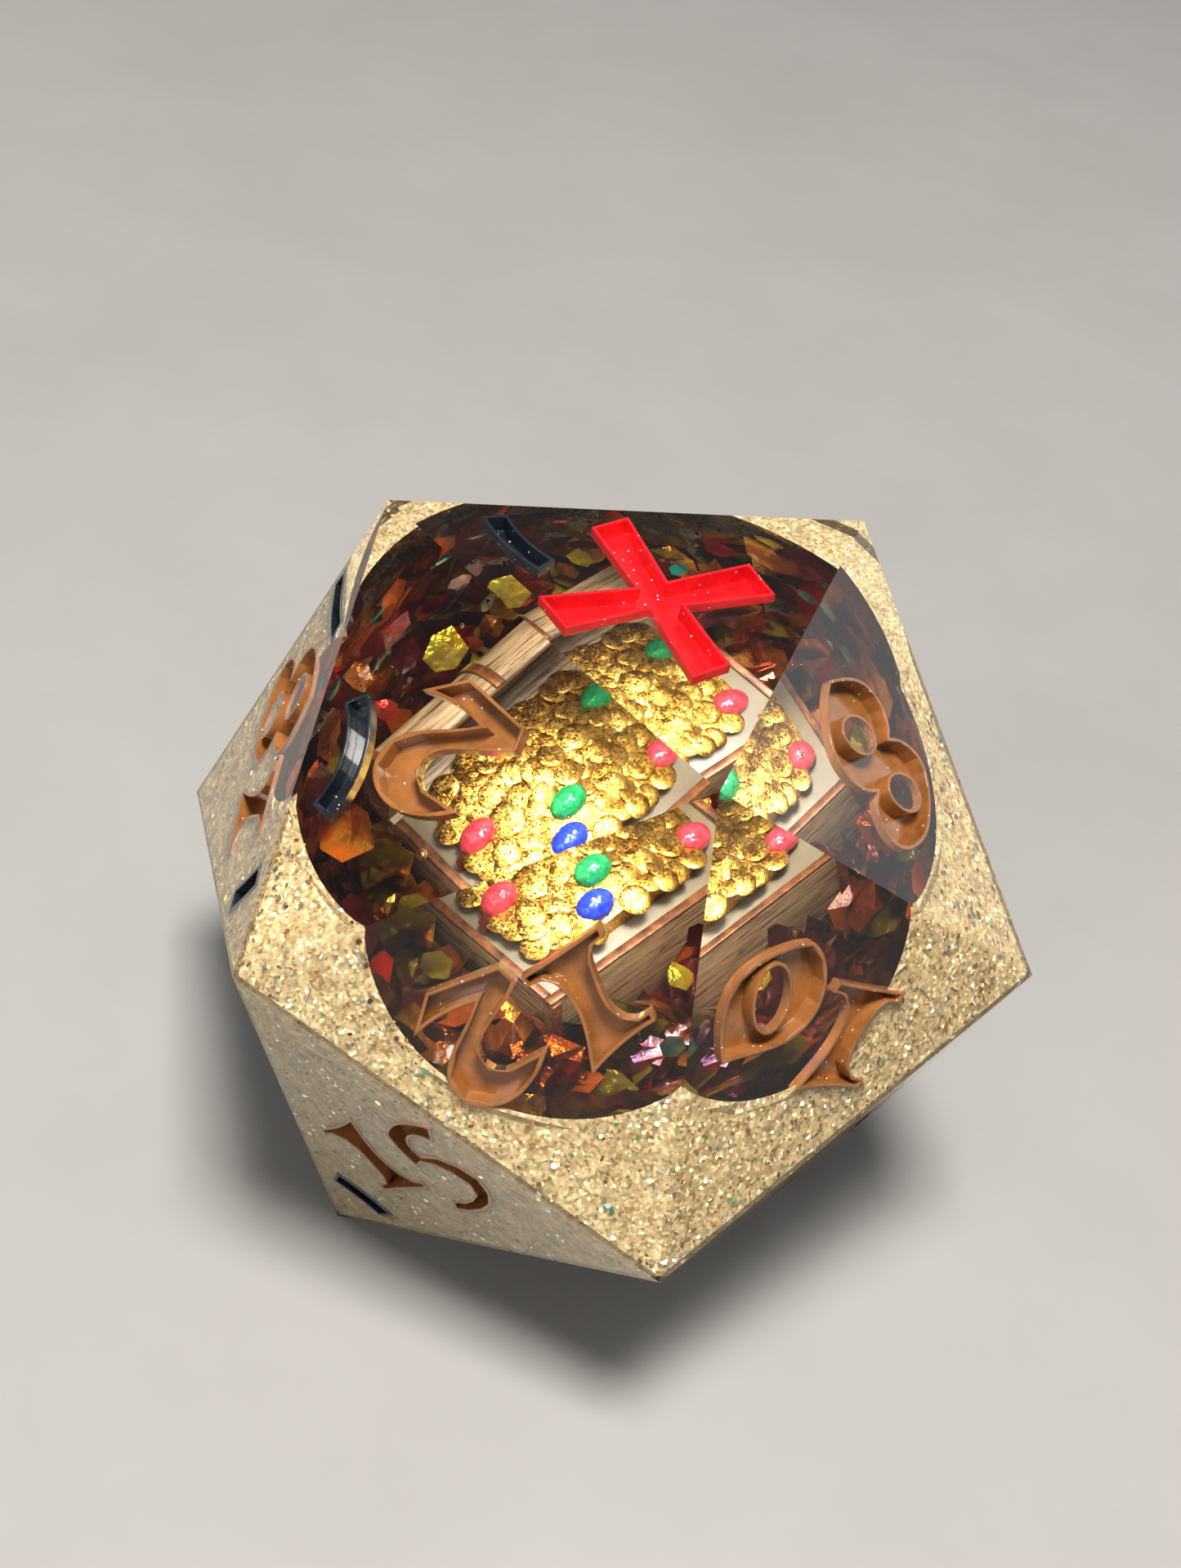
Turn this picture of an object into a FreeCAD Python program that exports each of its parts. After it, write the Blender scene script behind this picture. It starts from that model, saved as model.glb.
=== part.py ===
import FreeCAD, Part
import Sketcher
import math
import os
import random

# Twenty-sided die cast in resin around a small open treasure chest.
# Frame: origin at the centre of the die, +Z up through the face with the red cross,
# -Y towards the front corner of that face. The die rests on the face numbered 1.
# All lengths are millimetres.

V = FreeCAD.Vector
doc = FreeCAD.newDocument("treasure_die")
sheet = doc.addObject("Spreadsheet::Sheet", "sizes")

DRIVING_SIZES = {
    # die body
    "across_faces": 33.0,        # between two opposite faces
    "sand_level": 12.6,          # top of the sand-coloured pour, above the die's centre
    "bowl_radius": 14.9,         # round hollow left in the sand-coloured pour
    "bowl_shift_x": -0.8,
    "bowl_shift_y": -2.3,
    "bowl_shift_z": 4.9,
    # engraving
    "engrave_depth": 0.9,
    "paint_film": 0.15,
    "single_digit_scale": 1.0,
    "double_digit_scale": 0.92,
    "digit_pitch": 4.9,
    "dash_width": 1.15,
    # chest, measured in its own frame
    "chest_length": 13.0,
    "chest_width": 9.2,
    "chest_tall": 5.6,
    "board_thick": 0.45,
    "trim_thick": 0.15,
    "trim_width": 0.55,
    "bed_drop": 0.1,
    "lid_radius": 2.4,
    "lid_board": 0.5,
    "chest_x": -3.15,
    "chest_y": -8.3,
    "chest_z": 1.65,
    "chest_yaw": 32.0,
    "chest_pitch": 19.3,
    "chest_roll": 5.0,
    # treasure
    "ledge_width": 0.9,
    "mound_top": 1.5,
    "mound_rim": 0.4,            # height of the heap's dome at its farthest corner
    "mound_corner": 2.4,
    "coin_diameter": 1.2,
    "coin_thick": 0.22,
    "coin_gap": 0.07,
    "gem_length": 1.9,
    "gem_width": 1.4,
    "gem_tall": 1.15,
    # loose flakes and glitter
    "flake_size": 2.3,
    "flake_thick": 0.14,
    "flake_spacing": 3.3,
    "hex_size": 1.0,
    "resin_cover": 0.35,         # least clear resin between an inclusion and anything else
}
for row, (alias, value) in enumerate(DRIVING_SIZES.items(), start=1):
    sheet.set(f"A{row}", alias)
    sheet.set(f"B{row}", str(value))
    sheet.setAlias(f"B{row}", alias)
doc.recompute()


def size(alias):
    return float(sheet.get(alias))


subparts = []


def keep(feature, node):
    feature.Label = node
    subparts.append(feature)
    return feature


def coded_part(node, shape):
    """A sub-part whose shape no primitive or sketch describes."""
    feature = doc.addObject("Part::Feature", node)
    feature.Shape = shape
    feature.Placement = FreeCAD.Placement()
    return keep(feature, node)


# ---------------------------------------------------------------- the twenty-sided blank

GOLDEN = (1 + math.sqrt(5)) / 2
edge_length = size("across_faces") * math.sqrt(3) / GOLDEN ** 2
face_distance = size("across_faces") / 2


def corner_ring(radius, height, first_angle, names):
    ring = {}
    for step, name in enumerate(names):
        angle = math.radians(first_angle + 120 * step)
        ring[name] = V(radius * math.cos(angle), radius * math.sin(angle), height)
    return ring


def die_corners():
    """Twelve corners in four rings of three, from the top face down."""
    small = edge_length / math.sqrt(3)
    large = small * GOLDEN
    waist = edge_length / (2 * math.sqrt(3) * GOLDEN)
    corners = corner_ring(small, face_distance, -90, ("top_front", "top_right", "top_left"))
    corners.update(corner_ring(large, waist, 90, ("upper_back", "upper_left", "upper_right")))
    corners.update(corner_ring(large, -waist, -90, ("lower_front", "lower_right", "lower_left")))
    corners.update(corner_ring(small, -face_distance, 90, ("base_back", "base_left", "base_right")))
    return corners


CORNERS = die_corners()

# Each face: its mark, then its corners, starting with the one the mark's top points to.
# Opposite faces add up to 21, with the cross in the place of 20.
FACES = {
    "cross": ("top_left", "top_front", "top_right"),
    "1": ("base_right", "base_left", "base_back"),
    "2": ("upper_left", "top_front", "top_left"),
    "3": ("upper_right", "lower_right", "base_right"),
    "4": ("lower_left", "upper_back", "top_left"),
    "5": ("upper_left", "lower_left", "base_left"),
    "6": ("top_right", "upper_back", "lower_right"),
    "7": ("lower_front", "base_left", "base_right"),
    "8": ("upper_right", "top_front", "top_right"),
    "9": ("upper_back", "base_back", "lower_right"),
    "10": ("lower_front", "top_front", "upper_right"),
    "11": ("upper_back", "base_back", "lower_left"),
    "12": ("lower_front", "top_front", "upper_left"),
    "13": ("lower_left", "base_back", "base_left"),
    "14": ("upper_back", "top_left", "top_right"),
    "15": ("upper_left", "lower_front", "base_left"),
    "16": ("lower_right", "top_right", "upper_right"),
    "17": ("base_right", "lower_front", "upper_right"),
    "18": ("lower_left", "top_left", "upper_left"),
    "19": ("lower_right", "base_back", "base_right"),
}


def die_blank():
    faces = []
    for names in FACES.values():
        points = [CORNERS[name] for name in names]
        faces.append(Part.Face(Part.makePolygon(points + points[:1])))
    solid = Part.makeSolid(Part.makeShell(faces))
    if solid.Volume < 0:
        solid.reverse()
    return solid


def face_frame(mark):
    """Placement at a face's centre: local Y towards the mark's top, local Z outwards."""
    points = [CORNERS[name] for name in FACES[mark]]
    centre = (points[0] + points[1] + points[2]) / 3
    outward = V(centre).normalize()
    up = (points[0] - centre).normalize()
    across = up.cross(outward)
    return FreeCAD.Placement(centre, FreeCAD.Rotation(across, up, outward, "ZXY"))


def inside_die(point, cover):
    """True when the point is deeper than cover below every face."""
    for names in FACES.values():
        centre = (CORNERS[names[0]] + CORNERS[names[1]] + CORNERS[names[2]]) / 3
        if point.dot(centre.normalize()) > face_distance - cover:
            return False
    return True


# ---------------------------------------------------------------- numerals
# Broad-pen numerals about 6 mm tall. Each outline is a chain of runs: two points make a
# straight edge, more make a smooth curve, and the pen turns a sharp corner between runs.

DIGIT_OUTLINES = {
    "0": [[(0.85, 3.5), (-0.7, 2.4), (-2.2, 1.1), (-2.7, -0.4), (-2.2, -2.0), (-0.3, -3.2)],
          [(-0.3, -3.2), (1.9, -1.5), (2.65, 0.1), (2.3, 1.7), (0.85, 3.5)]],
    "1": [[(-2.4, 1.8), (-0.6, 2.3), (1.3, 3.2)],
          [(1.3, 3.2), (0.85, 1.6), (0.8, -0.8), (1.1, -1.4), (2.3, -1.6)],
          [(2.3, -1.6), (2.3, -2.2)],
          [(2.3, -2.2), (0.4, -2.6), (-1.9, -3.2)],
          [(-1.9, -3.2), (-1.9, -2.6)],
          [(-1.9, -2.6), (-1.0, -2.1), (-0.8, -1.0), (-0.8, 0.5), (-1.1, 1.1), (-2.4, 1.25)],
          [(-2.4, 1.25), (-2.4, 1.8)]],
    "2": [[(-2.6, 1.4), (-1.3, 2.6), (0.5, 3.1), (2.0, 2.3), (2.2, 1.3), (1.1, -0.3), (-0.6, -1.85)],
          [(-0.6, -1.85), (1.0, -1.8), (2.75, -1.3)],
          [(2.75, -1.3), (1.3, -3.0)],
          [(1.3, -3.0), (-2.3, -3.0)],
          [(-2.3, -3.0), (-2.7, -2.1)],
          [(-2.7, -2.1), (-0.7, -0.6), (0.3, 0.8), (-0.1, 1.5), (-1.1, 1.6), (-2.6, 1.4)]],
    "3": [[(-2.2, 2.5), (-0.6, 3.4), (1.5, 3.1), (1.9, 2.0), (0.9, 0.8)],
          [(0.9, 0.8), (2.3, -0.2), (2.1, -1.8), (0.7, -3.1), (-2.3, -3.6)],
          [(-2.3, -3.6), (-2.0, -2.8)],
          [(-2.0, -2.8), (0.2, -2.2), (0.9, -1.2), (0.3, -0.3), (-1.3, 0.1)],
          [(-1.3, 0.1), (-1.1, 0.8)],
          [(-1.1, 0.8), (0.2, 1.3), (0.6, 2.0), (-0.1, 2.4), (-1.3, 1.9)],
          [(-1.3, 1.9), (-2.2, 2.5)]],
    "4": [[(0.1, 3.3), (1.4, 3.6)],
          [(1.4, 3.6), (1.4, 0.1)],
          [(1.4, 0.1), (2.6, 0.4)],
          [(2.6, 0.4), (2.3, -1.0)],
          [(2.3, -1.0), (1.4, -1.1)],
          [(1.4, -1.1), (1.45, -2.3), (2.2, -3.4)],
          [(2.2, -3.4), (-0.9, -3.2)],
          [(-0.9, -3.2), (0.0, -2.4), (0.1, -1.1)],
          [(0.1, -1.1), (-2.7, -1.2)],
          [(-2.7, -1.2), (-2.6, -0.3)],
          [(-2.6, -0.3), (-1.0, 1.3), (0.1, 3.3)]],
    "5": [[(-2.2, 2.3), (-0.8, 3.3), (2.0, 3.4)],
          [(2.0, 3.4), (1.2, 2.2)],
          [(1.2, 2.2), (-0.2, 2.4), (-1.0, 1.7), (-1.0, 0.8)],
          [(-1.0, 0.8), (0.9, 0.7), (2.1, -0.4), (1.8, -1.9), (0.5, -3.1), (-2.3, -3.7)],
          [(-2.3, -3.7), (-1.9, -2.9)],
          [(-1.9, -2.9), (0.1, -2.3), (0.9, -1.3), (0.4, -0.4), (-2.1, -0.3)],
          [(-2.1, -0.3), (-2.35, 1.0), (-2.2, 2.3)]],
    "6": [[(1.9, 3.6), (-0.5, 3.0), (-2.2, 1.0), (-2.6, -1.2), (-1.4, -2.9), (0.4, -3.3),
           (2.1, -2.3), (2.5, -0.7), (1.5, 0.8), (-0.6, 0.9)],
          [(-0.6, 0.9), (-0.2, 2.0), (2.0, 2.7)],
          [(2.0, 2.7), (1.9, 3.6)]],
    "7": [[(-2.4, 2.1), (-1.7, 3.4)],
          [(-1.7, 3.4), (0.4, 3.0), (2.5, 3.3)],
          [(2.5, 3.3), (1.1, 0.6), (0.4, -1.6), (0.5, -3.5)],
          [(0.5, -3.5), (-1.4, -3.2)],
          [(-1.4, -3.2), (-1.1, -1.4), (-0.2, 0.4), (0.8, 1.9)],
          [(0.8, 1.9), (-0.9, 1.8), (-2.4, 2.1)]],
    "8": [[(0.0, 4.0), (-1.7, 3.4), (-2.9, 2.1), (-2.6, 0.9), (-1.75, 0.05)],
          [(-1.75, 0.05), (-2.8, -0.9), (-2.8, -2.2), (-1.7, -3.4), (-0.4, -4.1)],
          [(-0.4, -4.1), (1.8, -3.1), (2.8, -1.7), (2.6, -0.4), (1.6, 0.65)],
          [(1.6, 0.65), (2.8, 1.5), (2.8, 2.8), (1.6, 3.75), (0.0, 4.0)]],
}
DIGIT_OUTLINES["9"] = [[(-x, -y) for x, y in run] for run in DIGIT_OUTLINES["6"]]

# Counters are slanted ovals left standing: centre, long half, short half, slant in degrees.
DIGIT_COUNTERS = {
    "0": [((0.2, -0.1), 1.6, 0.95, -60)],
    "4": [((-0.55, 0.35), 0.75, 0.35, 60)],
    "6": [((0.0, -1.2), 1.2, 0.8, -55)],
    "8": [((-0.2, 2.0), 1.15, 0.8, -40), ((0.1, -1.45), 1.15, 0.8, -40)],
    "9": [((0.0, 1.2), 1.2, 0.8, -55)],
}
# A dot after the foot of 6 and 9 tells them apart on the die.
MARK_DOT = {"6": (2.9, -2.9, 0.45), "9": (2.9, -2.9, 0.45)}

CROSS_OUTLINE = [(-4.4, 2.6), (-2.9, 4.4), (0.05, 1.05), (3.2, 4.25), (4.9, 3.1), (1.25, 0.0),
                 (4.6, -2.7), (3.0, -4.4), (0.0, -1.25), (-2.9, -4.2), (-4.6, -3.1), (-1.1, 0.0)]

# The dashed trail: face, then start, middle and end of each dash in that face's frame.
TRAIL_DASHES = [
    ("cross", (-0.6, 4.9), (0.15, 6.55), (1.6, 8.2)),
    ("2", (5.0, 0.8), (3.1, 2.6), (2.35, 5.3)),
    ("18", (8.2, -2.3), (6.3, -3.45), (4.95, -4.8)),
    ("18", (-6.3, -5.1), (-6.75, -3.7), (-7.2, -2.0)),
    ("15", (-7.5, -2.5), (-6.7, -3.9), (-6.3, -5.3)),
]


class Outline:
    """A closed flat outline: a chain of edges, with oval islands left standing inside it."""

    def __init__(self, edges, islands=()):
        self.edges = edges
        self.islands = islands

    def face(self):
        return self.without_islands(Part.Face(Part.Wire(self.edges)), 0)

    def inset_face(self, distance):
        """The same outline drawn in by a distance, its curves as short chords."""
        corners = []
        for edge in self.edges:
            straight = isinstance(edge.Curve, Part.Line)
            corners += edge.discretize(2 if straight else CHORDS_PER_CURVE + 1)[:-1]
        inner = inset_polygon(corners, distance)
        face = Part.Face(Part.makePolygon(inner + inner[:1]))
        return self.without_islands(face, distance)

    def without_islands(self, face, growth):
        for centre, long_half, short_half, slant in self.islands:
            oval = Part.Wire(Part.Ellipse(V(0, 0, 0), long_half + growth, short_half + growth).toShape())
            turn = FreeCAD.Rotation(V(0, 0, 1), slant)
            oval.Placement = FreeCAD.Placement(V(centre[0], centre[1], 0), turn)
            face = face.cut(Part.Face(oval))
        return face


CHORDS_PER_CURVE = 8


def inset_polygon(corners, distance):
    """Move every side of a closed polygon inwards and meet the sides again."""
    doubled_area = sum(p.x * q.y - q.x * p.y for p, q in zip(corners, corners[1:] + corners[:1]))
    if doubled_area < 0:
        corners = corners[::-1]
    moved = []
    for before, here, after in zip(corners[-1:] + corners, corners, corners[1:] + corners[:1]):
        arriving = (here - before).normalize()
        leaving = (after - here).normalize()
        inward = V(-arriving.y, arriving.x, 0) + V(-leaving.y, leaving.x, 0)
        moved.append(here + inward * (2 * distance / inward.Length ** 2))
    return moved


def run_edge(points):
    if len(points) == 2:
        return Part.makeLine(*points)
    curve = Part.BSplineCurve()
    curve.interpolate(points)
    return curve.toShape()


def digit_outline(digit, scale, x_shift):
    def drawn(x, y):
        return V(x * scale + x_shift, y * scale, 0)

    edges = [run_edge([drawn(x, y) for x, y in run]) for run in DIGIT_OUTLINES[digit]]
    islands = [(drawn(*centre), long_half * scale, short_half * scale, slant)
               for centre, long_half, short_half, slant in DIGIT_COUNTERS.get(digit, [])]
    return Outline(edges, islands)


def number_outlines(mark):
    if len(mark) == 2:
        scale = size("double_digit_scale")
        half_pitch = size("digit_pitch") / 2
        return [digit_outline(mark[0], scale, -half_pitch), digit_outline(mark[1], scale, half_pitch)]
    scale = size("single_digit_scale")
    outlines = [digit_outline(mark, scale, 0)]
    if mark in MARK_DOT:
        x, y, radius = [value * scale for value in MARK_DOT[mark]]
        outlines.append(Outline([Part.Circle(V(x, y, 0), V(0, 0, 1), radius).toShape()]))
    return outlines


def cross_outline():
    points = [V(x, y, 0) for x, y in CROSS_OUTLINE]
    return Outline([Part.makeLine(p, q) for p, q in zip(points, points[1:] + points[:1])])


def dash_outline(start, middle, end):
    """A curved band of even width through three points."""
    points = [V(x, y, 0) for x, y in (start, middle, end)]
    centre = Part.Arc(*points).toShape().Curve.Center
    half = size("dash_width") / 2

    def shifted(distance):
        return [point + (point - centre).normalize() * distance for point in points]

    outer = shifted(half)
    inner = shifted(-half)
    return Outline([
        Part.Arc(*outer).toShape(),
        Part.makeLine(outer[2], inner[2]),
        Part.Arc(*reversed(inner)).toShape(),
        Part.makeLine(inner[0], outer[0]),
    ])


def engraved(mark, outlines):
    """Recess and paint solids for outlines drawn in one die face's frame."""
    frame = face_frame(mark)
    depth = size("engrave_depth")
    film = size("paint_film")
    recesses = []
    paints = []
    for outline in outlines:
        floor = outline.face()
        floor.translate(V(0, 0, -depth))
        recess = floor.extrude(V(0, 0, depth))
        hollow = outline.inset_face(film)
        hollow.translate(V(0, 0, film - depth))
        paint = recess.cut(hollow.extrude(V(0, 0, depth)))
        for shape, group in ((recess, recesses), (paint, paints)):
            shape.Placement = frame.multiply(shape.Placement)
            group.extend(shape.Solids)
    return recesses, paints


all_recesses = []


def engrave_number(mark):
    recesses, paints = engraved(mark, number_outlines(mark))
    all_recesses.extend(recesses)
    coded_part("numeral_" + mark, Part.makeCompound(paints))


def engrave_cross():
    recesses, paints = engraved("cross", [cross_outline()])
    all_recesses.extend(recesses)
    coded_part("red_cross", Part.makeCompound(paints))


def engrave_trail():
    trail = []
    for mark, start, middle, end in TRAIL_DASHES:
        recesses, paints = engraved(mark, [dash_outline(start, middle, end)])
        all_recesses.extend(recesses)
        trail.extend(paints)
    coded_part("trail_dashes", Part.makeCompound(trail))


for face_mark in FACES:
    if face_mark != "cross":
        engrave_number(face_mark)
engrave_cross()
engrave_trail()

# ---------------------------------------------------------------- the chest
# Chest frame: X along the front board, Y from front to back, Z up out of the mouth, with
# the origin at the outer left end of the front rim. The whole chest lies tilted in the die.

chest_turn = FreeCAD.Rotation(size("chest_yaw"), -size("chest_pitch"), size("chest_roll"))
chest_frame = FreeCAD.Placement(V(size("chest_x"), size("chest_y"), size("chest_z")), chest_turn)


def in_chest(x, y, z):
    return chest_frame.multiply(FreeCAD.Placement(V(x, y, z), FreeCAD.Rotation()))


def board(node, length, width, height, corner):
    """A plain board; its three sizes are expressions on the sheet."""
    box = doc.addObject("Part::Box", node)
    box.setExpression("Length", length)
    box.setExpression("Width", width)
    box.setExpression("Height", height)
    box.Placement = in_chest(*corner)
    return box


long_x = size("chest_length")
deep_y = size("chest_width")
tall_z = size("chest_tall")
thick = size("board_thick")
trim = size("trim_thick")
trim_band = size("trim_width")

WALL_TALL = "sizes.chest_tall - sizes.board_thick"
INNER_WIDTH = "sizes.chest_width - 2 * sizes.board_thick"
INNER_LENGTH = "sizes.chest_length - 2 * sizes.board_thick"
wall_foot = thick - tall_z


def chest_boards():
    keep(board("chest_base_board", "sizes.chest_length", "sizes.chest_width", "sizes.board_thick",
               (0, 0, -tall_z)), "chest_base_board")
    keep(board("chest_front_board", "sizes.chest_length", "sizes.board_thick", WALL_TALL,
               (0, 0, wall_foot)), "chest_front_board")
    keep(board("chest_back_board", "sizes.chest_length", "sizes.board_thick", WALL_TALL,
               (0, deep_y - thick, wall_foot)), "chest_back_board")
    keep(board("chest_left_board", "sizes.board_thick", INNER_WIDTH, WALL_TALL,
               (0, thick, wall_foot)), "chest_left_board")
    keep(board("chest_right_board", "sizes.board_thick", INNER_WIDTH, WALL_TALL,
               (long_x - thick, thick, wall_foot)), "chest_right_board")


def chest_trim():
    """Copper-brown strips along the top edges of the front and end boards, up to the lid."""
    keep(board("chest_front_trim", "sizes.chest_length", "sizes.board_thick", "sizes.trim_thick",
               (0, 0, 0)), "chest_front_trim")
    keep(board("chest_left_trim", "sizes.board_thick", INNER_WIDTH, "sizes.trim_thick",
               (0, thick, 0)), "chest_left_trim")
    keep(board("chest_right_trim", "sizes.board_thick", INNER_WIDTH, "sizes.trim_thick",
               (long_x - thick, thick, 0)), "chest_right_trim")


def corner_straps():
    """One upright strap on the front board at each end."""
    straps = []
    for side, left_edge in (("left", 0), ("right", long_x - trim_band)):
        strap = board("strap_" + side, "sizes.trim_width", "sizes.trim_thick", "sizes.chest_tall",
                      (left_edge, -trim, -tall_z))
        straps.append(strap)
    group = doc.addObject("Part::Compound", "chest_corner_straps")
    group.Links = straps
    keep(group, "chest_corner_straps")


def origin_plane(body, role):
    for feature in body.Origin.OriginFeatures:
        if feature.Role == role:
            return feature


def half_round_sketch(body, outer, inner):
    """Half ring (or half disc when inner is None) behind the chest's width axis."""
    sketch = body.newObject("Sketcher::SketchObject", body.Name + "_profile")
    sketch.AttachmentSupport = [(origin_plane(body, "YZ_Plane"), "")]
    sketch.MapMode = "FlatFace"
    start_angle, end_angle = -math.pi / 2, math.pi / 2
    radii = [outer] if inner is None else [outer, inner]
    for index, radius in enumerate(radii):
        first_radius = size("lid_radius") - index * size("lid_board")
        circle = Part.Circle(V(0, 0, 0), V(0, 0, 1), first_radius)
        sketch.addGeometry(Part.ArcOfCircle(circle, start_angle, end_angle))
        sketch.addConstraint(Sketcher.Constraint("Coincident", index, 3, -1, 1))
        sketch.addConstraint(Sketcher.Constraint("PointOnObject", index, 1, -2))
        sketch.addConstraint(Sketcher.Constraint("PointOnObject", index, 2, -2))
        number = sketch.addConstraint(Sketcher.Constraint("Radius", index, first_radius))
        sketch.setExpression(f"Constraints[{number}]", radius)
    first, last = 0, len(radii) - 1
    closing = [((first, 2), (last, 2)), ((last, 1), (first, 1))]
    if inner is None:
        closing = [((0, 2), (0, 1))]
    for (from_arc, from_end), (to_arc, to_end) in closing:
        start = sketch.getPoint(from_arc, from_end)
        end = sketch.getPoint(to_arc, to_end)
        line = sketch.addGeometry(Part.LineSegment(start, end))
        sketch.addConstraint(Sketcher.Constraint("Coincident", line, 1, from_arc, from_end))
        sketch.addConstraint(Sketcher.Constraint("Coincident", line, 2, to_arc, to_end))
    return sketch


# The lid's lower edge is glued to the outside of the back board, level with its top.
lid_axis_y = deep_y
lid_axis_z = size("lid_radius") - size("lid_board")


def half_round(node, outer, inner, length, x_place):
    body = doc.addObject("PartDesign::Body", node)
    sketch = half_round_sketch(body, outer, inner)
    pad = body.newObject("PartDesign::Pad", node + "_pad")
    pad.Profile = sketch
    pad.setExpression("Length", length)
    body.Placement = in_chest(x_place, lid_axis_y, lid_axis_z)
    return body


def chest_lid():
    """Barrel lid standing open on the back board, its mouth facing the coins."""
    lid_board = size("lid_board")
    inside = "sizes.lid_radius - sizes.lid_board"
    keep(half_round("chest_lid_shell", "sizes.lid_radius", inside, "sizes.chest_length", 0),
         "chest_lid_shell")
    keep(half_round("chest_lid_left_end", inside, None, "sizes.lid_board", 0), "chest_lid_left_end")
    keep(half_round("chest_lid_right_end", inside, None, "sizes.lid_board", long_x - lid_board),
         "chest_lid_right_end")
    bands = []
    for name, x_place in (("left", 0), ("middle", (long_x - trim_band) / 2), ("right", long_x - trim_band)):
        bands.append(half_round("lid_band_" + name, "sizes.lid_radius + sizes.trim_thick",
                                "sizes.lid_radius", "sizes.trim_width", x_place))
    group = doc.addObject("Part::Compound", "chest_lid_bands")
    group.Links = bands
    keep(group, "chest_lid_bands")


chest_boards()
chest_trim()
corner_straps()
chest_lid()
keep(board("chest_cream_bed", INNER_LENGTH, INNER_WIDTH,
           "sizes.chest_tall - sizes.board_thick - sizes.bed_drop", (thick, thick, wall_foot)),
     "chest_cream_bed")

# ---------------------------------------------------------------- coins and gems

ledge = size("ledge_width")
mound_left = thick + ledge
mound_right = long_x - thick - ledge
mound_front = thick + ledge
mound_back = deep_y - thick
mound_middle = V((mound_left + mound_right) / 2, (mound_front + mound_back) / 2, 0)


def dome_radius():
    """Ball that gives the heap its height in the middle and at its farthest corner."""
    corner = size("mound_corner")
    straight_x = (mound_right - mound_left) / 2 - corner
    straight_y = (mound_back - mound_front) / 2 - corner
    reach = math.hypot(straight_x, straight_y) + corner
    drop = size("mound_top") - size("mound_rim")
    return (reach ** 2 + drop ** 2) / (2 * drop)


mound_ball = dome_radius()


def mound_height(x, y):
    """Height of the coin heap's dome above the rim, in the chest frame."""
    offset = V(x, y, 0) - mound_middle
    return size("mound_top") - mound_ball + math.sqrt(mound_ball ** 2 - offset.Length ** 2)


def mound_tilt(x, y):
    """Rotation that lays a flat thing on the dome at a point."""
    offset = V(x, y, 0) - mound_middle
    normal = V(offset.x, offset.y, math.sqrt(mound_ball ** 2 - offset.Length ** 2))
    return FreeCAD.Rotation(V(0, 0, 1), normal)


def mound_block():
    floor = -size("bed_drop")
    block = Part.makeBox(mound_right - mound_left, mound_back - mound_front,
                         size("mound_top") - floor, V(mound_left, mound_front, floor))
    uprights = [edge for edge in block.Edges if edge.Length == edge.BoundBox.ZLength]
    block = block.makeFillet(size("mound_corner"), uprights)
    dome = Part.makeSphere(mound_ball)
    dome.translate(mound_middle + V(0, 0, size("mound_top") - mound_ball))
    return block.common(dome)


# Painted gems, each lying half sunk in the heap: colour, then shares of the heap's
# length and width, counted from its front left corner.
GEM_PLACES = {
    "red": [(0.93, 0.16), (0.07, 0.55)],
    "green": [(0.44, 0.3), (0.91, 0.72)],
    "blue": [(0.33, 0.12)],
}


def heap_point(length_share, width_share):
    x = mound_left + length_share * (mound_right - mound_left)
    y = mound_front + width_share * (mound_back - mound_front)
    return x, y


def gem(x, y):
    """Oval stone: a ball stretched to the gem's three sizes."""
    matrix = FreeCAD.Matrix()
    matrix.scale(size("gem_length") / 2, size("gem_width") / 2, size("gem_tall") / 2)
    stone = Part.makeSphere(1).transformGeometry(matrix)
    stone.Placement = FreeCAD.Placement(V(x, y, mound_height(x, y)), mound_tilt(x, y))
    return stone


def gem_groups():
    groups = {}
    for colour, places in GEM_PLACES.items():
        groups[colour] = [gem(*heap_point(along, across)) for along, across in places]
    return groups


def coin_places():
    """Staggered rows of coins over the dome, clear of the heap's round corners."""
    coin_reach = size("coin_diameter") / 2
    pitch = size("coin_diameter") + size("coin_gap")
    row_gap = pitch * math.sqrt(3) / 2
    rows = int((mound_back - mound_front) / row_gap)
    columns = int((mound_right - mound_left) / pitch)
    for row in range(rows):
        for column in range(columns):
            x = mound_left + pitch * (column + 0.5 + 0.5 * (row % 2))
            y = mound_front + pitch / 2 + row_gap * row
            from_side = min(x - mound_left, mound_right - x)
            from_end = min(y - mound_front, mound_back - y)
            in_heap = min(from_side, from_end) > coin_reach
            if in_heap and from_side + from_end > size("mound_corner"):
                yield x, y


def coin(x, y):
    """A coin pressed half its thickness into the dome."""
    half_sunk = V(0, 0, -size("coin_thick") / 2)
    disc = Part.makeCylinder(size("coin_diameter") / 2, size("coin_thick"), half_sunk)
    disc.Placement = FreeCAD.Placement(V(x, y, mound_height(x, y)), mound_tilt(x, y))
    return disc


COIN_SCRAP = 0.02   # volume of the slivers, left where a gem covers a coin, that are dropped


def treasure():
    gems = gem_groups()
    stones = [stone for group in gems.values() for stone in group]
    coins = [coin(x, y).cut(stones) for x, y in coin_places()]
    coins = [solid for disc in coins for solid in disc.Solids if solid.Volume > COIN_SCRAP]
    mound = mound_block().cut(stones + coins)
    for node, shape in [("coin_mound", mound), ("gold_coins", Part.makeCompound(coins))]:
        coded_part(node, shape).Placement = chest_frame
    for colour, group in gems.items():
        coded_part("gems_" + colour, Part.makeCompound(group)).Placement = chest_frame


treasure()

# ---------------------------------------------------------------- flakes round the chest

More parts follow.
